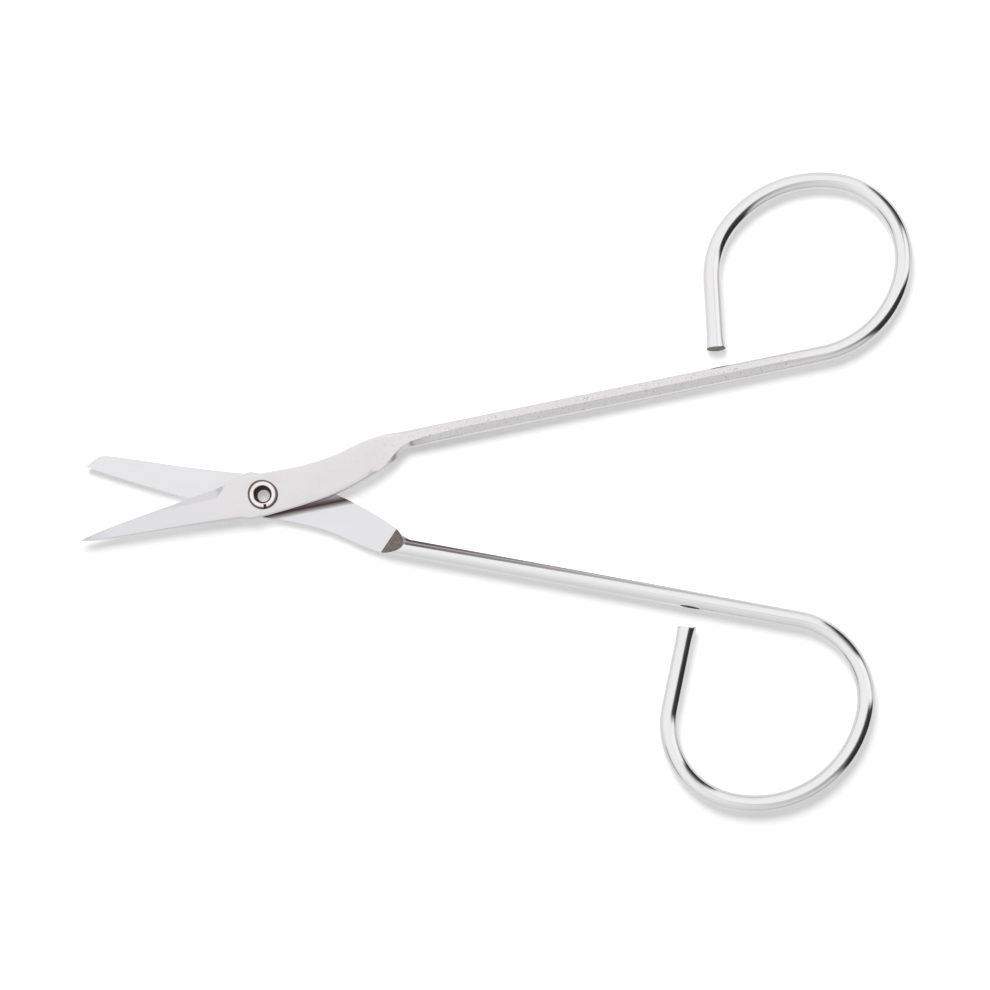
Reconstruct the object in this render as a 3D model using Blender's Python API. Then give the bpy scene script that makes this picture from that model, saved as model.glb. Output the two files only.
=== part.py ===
"""Wire-handled thread scissors: two forged wire halves on one hollow eyelet.

Each half is one length of round steel wire. One end is pressed into a flat tang
and a blade, the middle stays straight, and the other end is bent into an open
finger loop. The halves lie face to face on the shear plane, one turned over, and
turn on the eyelet. Each half is drawn in its own frame: the pivot at the origin,
the straight wire along +X, the cutting edge and the loop on the +Y side, the
shear plane at z = 0 and the half's outer side at +z. Dimensions are millimetres.
"""
import math

import bmesh
import bpy
from mathutils import Matrix, Vector

MM = 0.001

# Wire and straight handle
WIRE_DIAMETER = 2.34
WIRE_OFFSET = 3.40            # centreline of the straight wire, off the pivot
WIRE_FLAT_ANGLE = 52.0        # the die's two flats end this far round from the ridge
RING_POINTS = 16              # corners in every cross-section

# Tang, blade and the shear plane between the halves
SHEAR_GAP = 0.08              # between the two inner faces
SHOULDER_FOOT = [(16.36, 4.59), (17.81, 1.21)]  # where the facet meets the inner face
SHOULDER_SLOPE = 0.62         # rise of the shoulder's facet over its run
TANG_CORNER = 0.20            # rounding of the pressed tang's long edges
BLADE_CORNER_SHARE = 0.3      # how much of that rounding the grind leaves
EDGE_LAND = 0.12              # thickness left at the cutting edge
SPINE_THINNING = 0.50         # taken off the spine's thickness by the tip
GRIND_START = -4.6            # the blade's grind begins this far ahead of the pivot
GRIND_RUN = 1.8               # length over which the grind reaches full depth

# Eyelet
EYELET_RADIUS = 1.36
EYELET_CLEARANCE = 0.04       # radial, in both tangs
FLANGE_RADIUS = 2.00
FLANGE_HEIGHT = 0.35          # each rim stands this proud of its tang
FLANGE_GAP = 0.04             # axial, under each rim
RIM_EDGE = 0.04               # blunt outer edge of each rolled rim
CROWN_INNER = 1.28            # the rim is highest between these two radii
CROWN_OUTER = 1.45
BORE_RADIUS = 1.00
BORE_HALF = 0.85              # the bore flares beyond this far from the shear plane
EYELET_SIDES = 48
SPLIT_WIDTH = 0.30            # crack in the clinched rim
SPLIT_FLOOR = 0.06            # metal left under the crack
SPLIT_ANGLE = -78.0

# Pose: each straight wire's heading from +X with the blades open
POINTED_HEADING = 11.64
BLUNT_HEADING = -10.41

WIRE_RADIUS = WIRE_DIAMETER / 2
INNER_FACE = SHEAR_GAP / 2
OUTER_FACE = WIRE_RADIUS
BEND_STEP = 10.0              # degrees between the rings of a bend, at most
CUT_DEPTH = 3.0               # how far the cutters reach past the shear plane

# Plan outline of the pressed tang, the same on both halves, as (x, y) knots
TANG_OUTER = [(-1.1, 2.84), (5.5, 2.72), (9.8, 3.15), (13.8, 4.12), (16.5, 4.57), (19.7, 4.57)]
TANG_INNER = [(0.2, -2.75), (5.0, -2.38), (9.6, -1.75), (14.0, -0.45), (17.6, 1.00),
              (18.8, 1.85), (19.7, 2.23)]

# Blade outlines from the tip to the tang, and each handle's bends as
# (radius, angle), between a straight start and a straight end
HALVES = {
    "pointed": {
        "edge": [(-24.4, -0.95), (-20.0, -0.05), (-12.0, 1.12), (-5.2, 2.10)],
        "spine": [(-24.4, -1.05), (-22.8, -1.36), (-10.3, -1.95), (-3.0, -2.42)],
        "straight_end": 75.1,
        "bends": [(13.5, 69.7), (10.2, 91.6), (15.2, 58.4), (11.1, 41.7)],
        "tail": 9.0,
    },
    "blunt": {
        "edge": [(-23.4, 0.52), (-18.8, 1.13), (-12.2, 1.88), (-5.2, 2.50)],
        "spine": [(-23.4, 0.46), (-22.0, -1.06), (-20.8, -1.42), (-10.4, -1.84), (-3.0, -2.36)],
        "straight_end": 71.2,
        "bends": [(10.6, 66.4), (9.5, 24.9), (14.6, 90.3), (10.1, 89.8)],
        "tail": 10.8,
    },
}
BLADE_STATIONS = [-16.0, -8.0, GRIND_START - GRIND_RUN, GRIND_START, -3.0]
TANG_STATIONS = [-1.1, 1.2, 3.2, 5.5, 7.7, 9.8, 12.0, 13.8, 15.2, 16.5, 17.6, 18.2, 18.8, 19.7]
NECK_START = 13.8             # the flat tang starts turning into the wire here
NECK_END = TANG_STATIONS[-1]

# The die's flats fade out where the straight wire runs into the loop
FLATS_FADE_RUN = 6.0
FLATS_AT_BEND = 0.4           # share of the flats left where the first bend begins
FLATS_FADE_STEP = 0.2         # lost at each ring of the bend


def clear_scene():
    for item in list(bpy.data.objects):
        bpy.data.objects.remove(item, do_unlink=True)


def metal(name, colour, roughness):
    """A bare or plated metal as one Principled surface."""
    material = bpy.data.materials.new(name)
    material.use_nodes = True
    shader = material.node_tree.nodes["Principled BSDF"]
    shader.inputs["Base Color"].default_value = (*colour, 1.0)
    shader.inputs["Metallic"].default_value = 1.0
    shader.inputs["Roughness"].default_value = roughness
    return material


def along(knots, x):
    """Height at x of the smooth curve through the knots (cubic Hermite)."""
    if x <= knots[0][0]:
        return knots[0][1]
    if x >= knots[-1][0]:
        return knots[-1][1]
    slopes = []
    for i in range(len(knots)):
        before = knots[max(i - 1, 0)]
        after = knots[min(i + 1, len(knots) - 1)]
        slopes.append((after[1] - before[1]) / (after[0] - before[0]))
    i = max(k for k in range(len(knots) - 1) if knots[k][0] <= x)
    (x0, y0), (x1, y1) = knots[i], knots[i + 1]
    span = x1 - x0
    t = (x - x0) / span
    return (y0 * (1 + 2 * t) * (1 - t) ** 2 + slopes[i] * span * t * (1 - t) ** 2
            + y1 * t * t * (3 - 2 * t) + slopes[i + 1] * span * t * t * (t - 1))


def wire_section(flat):
    """Round wire as (y, z) about its centre. flat = 1 has the die's two flats,
    which meet in a ridge on the outer side, and flat = 0 is plain round."""
    points = []
    for i in range(RING_POINTS):
        turn = 360.0 * i / RING_POINTS
        if i == 0:
            die = 0.0
        else:
            die = WIRE_FLAT_ANGLE + (360.0 - 2 * WIRE_FLAT_ANGLE) * (i - 1) / (RING_POINTS - 2)
        angle = math.radians(flat * die + (1 - flat) * turn)
        points.append((WIRE_RADIUS * math.sin(angle), WIRE_RADIUS * math.cos(angle)))
    return points


def plate_section(y_edge, y_spine, top_edge, top_spine, corner):
    """Pressed plate as (y, z): a flat outer side above z = 0, and below it the
    wire's old round side, which the inner face later cuts away."""
    middle = (y_edge + y_spine) / 2
    half = (y_edge - y_spine) / 2
    corner = min(corner, half * 0.4)
    edge_corner = min(corner, top_edge * 0.5)
    spine_corner = min(corner, top_spine * 0.5)
    points = [(middle, (top_edge + top_spine) / 2),
              (y_edge - corner, top_edge),
              (y_edge, top_edge - edge_corner)]
    round_side = RING_POINTS - 5
    for i in range(round_side):
        angle = math.pi * i / (round_side - 1)
        points.append((middle + half * math.cos(angle), -WIRE_RADIUS * math.sin(angle)))
    points += [(y_spine, top_spine - spine_corner),
               (y_spine + corner, top_spine)]
    return points


def mixed(first, second, t):
    return [(a[0] * (1 - t) + b[0] * t, a[1] * (1 - t) + b[1] * t)
            for a, b in zip(first, second)]


def blade_rings(half):
    """Rings from the tip to the tang: a wedge that the grind thins."""
    knots = sorted(set(x for x, _ in half["edge"] + half["spine"]))
    stations = [x for x in knots if x < GRIND_START - GRIND_RUN] + BLADE_STATIONS
    edge = half["edge"] + TANG_OUTER[:1]
    spine = half["spine"] + TANG_INNER[:1]
    length = GRIND_START - edge[0][0]
    rings = []
    for x in sorted(set(stations)):
        ground = min(max((GRIND_START - x) / GRIND_RUN, 0.0), 1.0)
        thin = min(max((GRIND_START - x) / length, 0.0), 1.0)
        top_spine = OUTER_FACE - SPINE_THINNING * thin
        top_edge = OUTER_FACE + ground * (INNER_FACE + EDGE_LAND - OUTER_FACE)
        corner = TANG_CORNER * (1 - ground + BLADE_CORNER_SHARE * ground)
        section = plate_section(along(edge, x), along(spine, x), top_edge, top_spine, corner)
        rings.append([(x, y, z) for y, z in section])
    return rings


def tang_rings():
    """Rings from the pivot to the neck, where the plate becomes the wire."""
    rings = []
    for x in TANG_STATIONS:
        outer, inner = along(TANG_OUTER, x), along(TANG_INNER, x)
        plate = plate_section(outer, inner, OUTER_FACE, OUTER_FACE, TANG_CORNER)
        widening = (outer - inner) / WIRE_DIAMETER
        wire = [((outer + inner) / 2 + y * widening, z) for y, z in wire_section(1.0)]
        t = min(max((x - NECK_START) / (NECK_END - NECK_START), 0.0), 1.0)
        section = mixed(plate, wire, t * t)
        rings.append([(x, y, z) for y, z in section])
    return rings


def handle_rings(half):
    """Rings along the straight wire and round the finger loop."""
    start = half["straight_end"]
    place = Vector((start, WIRE_OFFSET))
    heading = 0.0
    flat = FLATS_AT_BEND
    path = [(Vector((start - FLATS_FADE_RUN, WIRE_OFFSET)), heading, 1.0), (place, heading, flat)]
    for radius, angle in half["bends"]:
        steps = math.ceil(angle / BEND_STEP)
        turn = math.radians(angle) / steps
        chord = 2 * radius * math.sin(turn / 2)
        for _ in range(steps):
            direction = heading + turn / 2
            place = place + chord * Vector((math.cos(direction), math.sin(direction)))
            heading += turn
            flat = max(flat - FLATS_FADE_STEP, 0.0)
            path.append((place, heading, flat))
    end = place + half["tail"] * Vector((math.cos(heading), math.sin(heading)))
    path.append((end, heading, 0.0))
    rings = []
    for place, heading, flat in path:
        side = Vector((-math.sin(heading), math.cos(heading)))
        rings.append([(*(place + side * y), z) for y, z in wire_section(flat)])
    return rings


def skin(name, rings, material):
    """One closed solid through the rings, with both ends capped."""
    mesh = bpy.data.meshes.new(name)
    shape = bmesh.new()
    loops = [[shape.verts.new(Vector(p) * MM) for p in ring] for ring in rings]
    for ring, following in zip(loops, loops[1:]):
        for i in range(RING_POINTS):
            j = (i + 1) % RING_POINTS
            shape.faces.new((ring[i], ring[j], following[j], following[i]))
    shape.faces.new(loops[0])
    shape.faces.new(reversed(loops[-1]))
    bmesh.ops.recalc_face_normals(shape, faces=shape.faces)
    shape.to_mesh(mesh)
    shape.free()
    mesh.materials.append(material)
    return add_object(name, mesh)


def add_object(name, mesh):
    item = bpy.data.objects.new(name, mesh)
    bpy.context.scene.collection.objects.link(item)
    return item


def add_empty(name, place):
    item = bpy.data.objects.new(name, None)
    bpy.context.scene.collection.objects.link(item)
    item.location = place
    return item


def hull_cutter(name, corners):
    """A convex cutter through the given corners."""
    mesh = bpy.data.meshes.new(name)
    shape = bmesh.new()
    for corner in corners:
        shape.verts.new(Vector(corner) * MM)
    bmesh.ops.convex_hull(shape, input=shape.verts)
    bmesh.ops.recalc_face_normals(shape, faces=shape.faces)
    shape.to_mesh(mesh)
    shape.free()
    return as_cutter(add_object(name, mesh))


def as_cutter(item):
    item.hide_render = True
    item.display_type = 'WIRE'
    return item


def cut(item, cutter):
    cutter.parent = item
    modifier = item.modifiers.new(cutter.name, 'BOOLEAN')
    modifier.operation = 'DIFFERENCE'
    modifier.object = cutter


def inner_face_cutter(name):
    """Everything below the inner face, up to the shoulder's sloping facet.

    The facet's foot crosses the tang square to its inner side, and the facet
    runs out on the wire's round side.
    """
    foot = [Vector(point) for point in SHOULDER_FOOT]
    way = (foot[1] - foot[0]).normalized()
    towards_wire = Vector((-way.y, way.x))
    past_sides = 6.0
    past_tip = -30.0
    corners = []
    for point in (foot[0] - way * past_sides, foot[1] + way * past_sides):
        corners.append((point.x, point.y, INNER_FACE))
        low = point + towards_wire * (CUT_DEPTH + INNER_FACE) / SHOULDER_SLOPE
        corners.append((low.x, low.y, -CUT_DEPTH))
        for z in (INNER_FACE, -CUT_DEPTH):
            corners.append((past_tip, point.y, z))
    return hull_cutter(name, corners)


def rivet_hole_cutter(name):
    radius = EYELET_RADIUS + EYELET_CLEARANCE
    corners = []
    for i in range(EYELET_SIDES):
        angle = 2 * math.pi * i / EYELET_SIDES
        for z in (-CUT_DEPTH, CUT_DEPTH):
            corners.append((radius * math.cos(angle), radius * math.sin(angle), z))
    return hull_cutter(name, corners)


def build_half(kind, material):
    """One half: blade, tang, straight wire and finger loop in one piece."""
    half = HALVES[kind]
    rings = blade_rings(half) + tang_rings() + handle_rings(half)
    item = skin(kind + "_half", rings, material)
    cut(item, inner_face_cutter(kind + "_inner_face_cutter"))
    cut(item, rivet_hole_cutter(kind + "_rivet_hole_cutter"))
    smooth(item)
    return item, rings


def smooth(item):
    item.data.shade_smooth()
    item.data.set_sharp_from_angle(angle=math.radians(30.0))


def rounded(centre, reach, rise, angles):
    """Points at the given degrees on an ellipse, as (radius, z)."""
    return [(centre[0] + reach * math.cos(math.radians(angle)),
             centre[1] + rise * math.sin(math.radians(angle))) for angle in angles]


def eyelet_profile():
    """Closed half-section as (radius, z): a tube with a rolled rim at each end."""
    under = OUTER_FACE + FLANGE_GAP
    edge = under + RIM_EDGE
    top = OUTER_FACE + FLANGE_HEIGHT
    rim = rounded((CROWN_INNER, BORE_HALF), CROWN_INNER - BORE_RADIUS, top - BORE_HALF,
                  (180, 155, 130, 110, 90))
    rim += rounded((CROWN_OUTER, edge), FLANGE_RADIUS - CROWN_OUTER, top - edge, (90, 70, 45, 20, 0))
    rim += [(FLANGE_RADIUS - RIM_EDGE, under), (EYELET_RADIUS, under)]
    return rim + [(radius, -z) for radius, z in reversed(rim)]


def build_eyelet(material):
    """Hollow eyelet rivet, with the crack that clinching left in its upper rim."""
    mesh = bpy.data.meshes.new("pivot_eyelet")
    shape = bmesh.new()
    profile = eyelet_profile()
    loops = []
    for i in range(EYELET_SIDES):
        angle = 2 * math.pi * i / EYELET_SIDES
        loops.append([shape.verts.new(Vector((r * math.cos(angle), r * math.sin(angle), z)) * MM)
                      for r, z in profile])
    for i in range(EYELET_SIDES):
        here, following = loops[i], loops[(i + 1) % EYELET_SIDES]
        for k in range(len(profile)):
            m = (k + 1) % len(profile)
            shape.faces.new((here[k], here[m], following[m], following[k]))
    bmesh.ops.recalc_face_normals(shape, faces=shape.faces)
    shape.to_mesh(mesh)
    shape.free()
    mesh.materials.append(material)
    item = add_object("pivot_eyelet", mesh)
    turn = Matrix.Rotation(math.radians(SPLIT_ANGLE), 4, 'Z')
    floor = OUTER_FACE + FLANGE_GAP + SPLIT_FLOOR
    corners = [turn @ Vector((x, y, z)) for x in (CROWN_INNER, 2 * FLANGE_RADIUS)
               for y in (-SPLIT_WIDTH / 2, SPLIT_WIDTH / 2) for z in (floor, CUT_DEPTH)]
    cut(item, hull_cutter("rim_split_cutter", corners))
    smooth(item)
    return item


def pose_matrix(heading, turned_over):
    """Half frame to the part's frame, both with the pivot at the origin."""
    flip = Matrix.Rotation(math.pi, 4, 'X') if turned_over else Matrix.Identity(4)
    return Matrix.Rotation(math.radians(heading), 4, 'Z') @ flip


def main():
    clear_scene()
    plated_wire = metal("nickel_plated_wire", (0.80, 0.79, 0.79), 0.22)
    plated_eyelet = metal("nickel_plated_eyelet", (0.74, 0.72, 0.71), 0.20)

    pointed, pointed_rings = build_half("pointed", plated_wire)
    blunt, blunt_rings = build_half("blunt", plated_wire)
    eyelet = build_eyelet(plated_eyelet)

    pointed_pose = pose_matrix(POINTED_HEADING, False)
    blunt_pose = pose_matrix(BLUNT_HEADING, True)
    corners = [pointed_pose @ Vector(p) for ring in pointed_rings for p in ring]
    corners += [blunt_pose @ Vector(p) for ring in blunt_rings for p in ring]
    middle_x = (min(p.x for p in corners) + max(p.x for p in corners)) / 2
    middle_y = (min(p.y for p in corners) + max(p.y for p in corners)) / 2
    lowest = -(OUTER_FACE + FLANGE_HEIGHT)

    # The part's origin is below the middle of its box, on the surface it lies on
    axis = add_empty("pivot_axis", Vector((-middle_x, -middle_y, -lowest)) * MM)
    turning_axis = add_empty("blade_pivot", (0.0, 0.0, 0.0))
    turning_axis.parent = axis
    pointed.parent = turning_axis
    pointed.matrix_basis = pointed_pose
    for item, pose in ((blunt, blunt_pose), (eyelet, Matrix.Identity(4))):
        item.parent = axis
        item.matrix_basis = pose


main()
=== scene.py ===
"""Wire-handled thread scissors: the finished look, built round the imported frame.

Two halves, each one length of wire with a pressed tang and a ground blade, turn on
a hollow eyelet. Each half is modelled in its own frame, as a smith would draw it:
the pivot at the origin, the straight wire along +X, the cutting edge and the finger
loop on the +Y side, the shear plane at z = 0 and the outer side at +z. It is then
set at its place on the frame. Outlines are in millimetres and meshes in metres.
"""
import math

import bmesh
import bpy
from bpy.props import FloatProperty, FloatVectorProperty, PointerProperty
from bpy.types import Operator, Panel, PropertyGroup
from mathutils import Matrix, Vector


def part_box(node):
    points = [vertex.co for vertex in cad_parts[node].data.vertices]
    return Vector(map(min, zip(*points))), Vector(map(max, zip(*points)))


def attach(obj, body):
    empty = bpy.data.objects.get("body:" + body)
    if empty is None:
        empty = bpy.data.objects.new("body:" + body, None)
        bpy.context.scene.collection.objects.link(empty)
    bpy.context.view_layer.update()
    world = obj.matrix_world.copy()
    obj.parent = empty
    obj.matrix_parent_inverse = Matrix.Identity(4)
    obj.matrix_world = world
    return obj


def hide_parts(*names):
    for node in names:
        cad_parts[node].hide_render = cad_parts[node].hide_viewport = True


bl_info = {
    "name": "Wire-Handled Thread Scissors",
    "version": (1, 0, 0),
    "blender": (4, 5, 0),
    "location": "View3D > Sidebar > Scissors",
    "description": "Models a pair of wire-handled thread scissors round its packed frame",
    "category": "Add Mesh",
}

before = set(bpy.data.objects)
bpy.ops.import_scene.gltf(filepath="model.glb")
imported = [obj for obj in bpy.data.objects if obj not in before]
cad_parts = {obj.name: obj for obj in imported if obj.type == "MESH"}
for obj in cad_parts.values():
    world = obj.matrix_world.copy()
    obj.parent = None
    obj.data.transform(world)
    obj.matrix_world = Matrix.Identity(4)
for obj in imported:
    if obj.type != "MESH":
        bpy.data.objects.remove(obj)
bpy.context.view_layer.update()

MM = 0.001
EYELET_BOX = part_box("pivot_eyelet")
PIVOT = (EYELET_BOX[0] + EYELET_BOX[1]) / 2
EYELET_TOP = (EYELET_BOX[1].z - EYELET_BOX[0].z) / 2

# Headings of the two straight wires from +X, with the blades open
POINTED_HEADING = 11.64
BLUNT_HEADING = -10.41

# A cross-section runs from the ridge over the edge-side flat, round the underside
# and back over the spine-side flat
FLAT_STEPS = 6
ROUND_STEPS = 52
CORNER_STEPS = 6
RING_POINTS = 2 * FLAT_STEPS + ROUND_STEPS

# Plan outline of the pressed tang, the same on both halves, as (x, y) knots
TANG_OUTER = [(-1.1, 2.84), (5.5, 2.72), (9.8, 3.15), (13.8, 4.12), (16.5, 4.57), (19.7, 4.57)]
TANG_INNER = [(0.2, -2.75), (5.0, -2.38), (9.6, -1.75), (14.0, -0.45), (17.6, 1.00),
              (18.8, 1.85), (19.7, 2.23)]
# The flat's lower crease, which climbs across the neck and becomes the wire's ridge
CREASE = [(13.8, -0.30), (15.5, 0.21), (17.0, 1.12), (18.6, 2.36), (19.3, 2.68),
          (20.1, 2.93), (22.8, 3.20), (27.0, 3.40)]
# How far round from the ridge each flat ends, in degrees, along the neck
EDGE_FLAT_END = [(13.8, 25.0), (19.7, 38.0), (22.5, 50.0), (26.0, 52.0)]
SPINE_FLAT_END = [(13.8, 60.0), (18.4, 76.0), (21.0, 62.0), (24.0, 52.0)]
NECK_START = 13.8
NECK_END = 19.7
FLATS_FADE = 12.0             # the wire's flats fade out over this length before the loop

# Blade outlines from the tip to the tang, and each handle's bends as
# (radius, angle), between a straight start and a straight end
HALVES = {
    "pointed": {
        "edge": [(-24.4, -0.95), (-20.0, -0.05), (-12.0, 1.12), (-5.2, 2.10)],
        "spine": [(-24.4, -1.05), (-22.8, -1.36), (-10.3, -1.95), (-3.0, -2.42)],
        "straight_end": 75.1,
        "bends": [(13.5, 69.7), (10.2, 91.6), (15.2, 58.4), (11.1, 41.7)],
        "tail": 9.0,
        "crop_skew": 0.0,
        "crop_slope": 8.0,
    },
    "blunt": {
        "edge": [(-23.4, 0.52), (-18.8, 1.13), (-12.2, 1.88), (-5.2, 2.50)],
        "spine": [(-23.4, 0.46), (-22.0, -1.06), (-20.8, -1.42), (-10.4, -1.84), (-3.0, -2.36)],
        "straight_end": 71.2,
        "bends": [(10.6, 66.4), (9.5, 24.9), (14.6, 90.3), (10.1, 89.8)],
        "tail": 10.8,
        "crop_skew": 8.0,
        "crop_slope": 0.0,
    },
}
BLADE_END = -3.0
PLUNGE = -5.2                 # the grinding wheel leaves the blade here
PLUNGE_RUN = 11.0             # length over which its hollow reaches full depth
HOLLOW_SHAPE = 1.4            # above 1, the hollow starts gently
SHARPENED_TO = -4.4           # the sharpening bevel stops here
SHARPENED_RUN = 1.6           # length over which it runs out
SHARPENING_SLOPE = 0.80       # fall of that bevel over its width
SHARPENING_LEAST = 0.02       # least width of that bevel
SHOULDER_FOOT = [(16.36, 4.59), (17.81, 1.21)]   # where it meets the inner face
WIRE_START = 27.0             # from here on the wire has one plain section
WIRE_FLAT_END = 52.0          # how far round from the ridge its two flats end, in degrees
BEND_STEP = 3.0               # degrees between the rings of a bend, about
CROP_CHAMFER = 0.04           # at the end of the tail
CROP_SPREAD = 0.11            # how much wider than the wire the cropping left it
HOLE_CLEARANCE = 0.04         # between the eyelet's tube and the hole in the tang
THROUGH = 6.0                 # enough for a cutter to pass right through

# The eyelet: its bore flares from FUNNEL above the shear plane up to a nearly flat
# crown between two radii, and the rim is rolled down to RIM_GAP above the tang
FUNNEL = 0.85
CROWN_INNER, CROWN_OUTER = 1.28, 1.56
RIM_GAP = 0.04
RIM_EDGE = 0.10
NARROWING = 0.80              # the bore under the clinched rim, as a share of the bore
CRACK_ANGLE = -78.0           # the crack in the clinched rim, from +X
CRACK_ENDS = ((1.34, 0.12), (1.95, 0.17))   # (radius, half width) where it starts and ends
CRACK_FLOOR = 1.30            # above the shear plane

# The painted shadow band lies where y + BAND_SLOPE * x is between these, in millimetres
BAND_SLOPE = 0.40
BAND_START, BAND_END = 1.2, 4.2

TABLE_WHITE = 0.9             # how much light the opal table sends back
TABLE_GLOW = 0.42             # what comes through it from below


def hex_colour(code):
    """Linear RGB of an sRGB hex colour."""
    channels = [int(code[i:i + 2], 16) / 255 for i in (1, 3, 5)]
    return [c / 12.92 if c <= 0.04045 else ((c + 0.055) / 1.055) ** 2.4 for c in channels]


class ScissorSizes(PropertyGroup):
    wire_diameter: FloatProperty(
        name="Wire Diameter", description="Thickness of the handle wire",
        default=2.34 * MM, min=0.5 * MM, unit='LENGTH', precision=5)
    wire_offset: FloatProperty(
        name="Wire Offset", description="From the pivot to the straight wire's centreline",
        default=3.40 * MM, unit='LENGTH', precision=5)
    shear_gap: FloatProperty(
        name="Shear Gap", description="Between the inner faces of the two halves",
        default=0.08 * MM, min=0.0, unit='LENGTH', precision=5)
    tang_corner: FloatProperty(
        name="Tang Corner", description="Rounding of the pressed tang's long edges",
        default=0.20 * MM, min=0.01 * MM, unit='LENGTH', precision=5)
    edge_land: FloatProperty(
        name="Edge Land", description="Thickness left at the cutting edge",
        default=0.10 * MM, min=0.01 * MM, unit='LENGTH', precision=5)
    spine_taper: FloatProperty(
        name="Spine Taper", description="How much thinner the spine is at the tip",
        default=0.50 * MM, min=0.0, unit='LENGTH', precision=5)
    shoulder_slope: FloatProperty(
        name="Shoulder Slope", description="Rise of the shoulder's facet over its run",
        default=0.62, min=0.1)
    eyelet_radius: FloatProperty(
        name="Eyelet Radius", description="Outside of the eyelet's tube",
        default=1.36 * MM, min=0.1 * MM, unit='LENGTH', precision=5)
    flange_radius: FloatProperty(
        name="Flange Radius", description="Outside of the eyelet's rolled rim",
        default=2.00 * MM, min=0.1 * MM, unit='LENGTH', precision=5)
    bore_radius: FloatProperty(
        name="Bore Radius", description="Inside of the eyelet's tube",
        default=1.00 * MM, min=0.1 * MM, unit='LENGTH', precision=5)


class ScissorFinish(PropertyGroup):
    plate: FloatVectorProperty(
        name="Bright Plate", description="Nickel plate on the drawn wire",
        subtype='COLOR', min=0.0, max=1.0, default=hex_colour("#CFCDCD"))
    pressed: FloatVectorProperty(
        name="Pressed Plate", description="Nickel plate where the dies pressed the wire",
        subtype='COLOR', min=0.0, max=1.0, default=hex_colour("#C8C4C5"))
    ground: FloatVectorProperty(
        name="Ground Steel", description="The blade's ground bevel",
        subtype='COLOR', min=0.0, max=1.0, default=hex_colour("#C5C3C6"))
    lapped: FloatVectorProperty(
        name="Lapped Plate", description="The inner face of each half",
        subtype='COLOR', min=0.0, max=1.0, default=hex_colour("#D5D3D5"))
    sheared: FloatVectorProperty(
        name="Sheared Steel", description="The shoulder's rough facet",
        subtype='COLOR', min=0.0, max=1.0, default=hex_colour("#857B74"))
    eyelet: FloatVectorProperty(
        name="Eyelet Plate", description="Nickel plate on the brass eyelet",
        subtype='COLOR', min=0.0, max=1.0, default=hex_colour("#D4D0CE"))
    # Colour of two lines painted on the wire as a reflection of dark surroundings
    worn: FloatVectorProperty(
        name="Painted Reflection Lines", description="Where the die's edge scraped the plate off the wire",
        subtype='COLOR', min=0.0, max=1.0, default=hex_colour("#4A3735"))
    # Colour of the painted shadow that the other tang casts on the inner face
    rubbed: FloatVectorProperty(
        name="Painted Shadow Band", description="Old oil and steel dust where the tangs rub",
        subtype='COLOR', min=0.0, max=1.0, default=hex_colour("#432E2A"))
    # Colour of brass tarnish together with painted shade in the eyelet's bore, crack and round its rim
    tarnish_and_shade: FloatVectorProperty(
        name="Tarnish", description="Brass tarnish in the eyelet's bore and round its rim",
        subtype='COLOR', min=0.0, max=1.0, default=hex_colour("#4A2E2B"))


class ScissorStudio(PropertyGroup):
    key_power: FloatProperty(
        name="Key Power", description="Lamp behind the scissors that throws the shadows",
        default=2.8, min=0.0, unit='POWER')
    dome: FloatProperty(
        name="Dome", description="Brightness of the tent of white cloth",
        default=1.6, min=0.0)
    camera_distance: FloatProperty(
        name="Camera Distance", description="From the camera to the middle of the scissors",
        default=420 * MM, min=0.01, unit='LENGTH')
    camera_tilt: FloatProperty(
        name="Camera Tilt", description="Off the vertical, towards the near side",
        default=math.radians(5.5), subtype='ANGLE')
    focal_length: FloatProperty(
        name="Focal Length", description="In millimetres", default=117.5, min=10.0)


# ---------------------------------------------------------------- shapes

def along(knots, x):
    """Height at x of the smooth curve through the knots (cubic Hermite)."""
    if x <= knots[0][0]:
        return knots[0][1]
    if x >= knots[-1][0]:
        return knots[-1][1]
    slopes = []
    for i in range(len(knots)):
        before = knots[max(i - 1, 0)]
        after = knots[min(i + 1, len(knots) - 1)]
        slopes.append((after[1] - before[1]) / (after[0] - before[0]))
    i = max(k for k in range(len(knots) - 1) if knots[k][0] <= x)
    (x0, y0), (x1, y1) = knots[i], knots[i + 1]
    span = x1 - x0
    t = (x - x0) / span
    return (y0 * (1 + 2 * t) * (1 - t) ** 2 + slopes[i] * span * t * (1 - t) ** 2
            + y1 * t * t * (3 - 2 * t) + slopes[i + 1] * span * t * t * (t - 1))


def share(x, start, end):
    """How far x is on its way from start to end, from 0 to 1."""
    return min(max((x - start) / (end - start), 0.0), 1.0)


def mixed(first, second, t):
    """The outline that is t of the way from the first to the second."""
    return [(a[0] * (1 - t) + b[0] * t, a[1] * (1 - t) + b[1] * t)
            for a, b in zip(first, second)]


def straight(first, second, steps):
    """Points from first to second, both ends included."""
    return [(first[0] + (second[0] - first[0]) * i / steps,
             first[1] + (second[1] - first[1]) * i / steps) for i in range(steps + 1)]


def arc(centre, radius_y, radius_z, start, end, steps):
    """Points on an ellipse from one angle to another, degrees from +y towards +z."""
    points = []
    for i in range(steps + 1):
        angle = math.radians(start + (end - start) * i / steps)
        points.append((centre[0] + radius_y * math.cos(angle), centre[1] + radius_z * math.sin(angle)))
    return points


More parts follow.
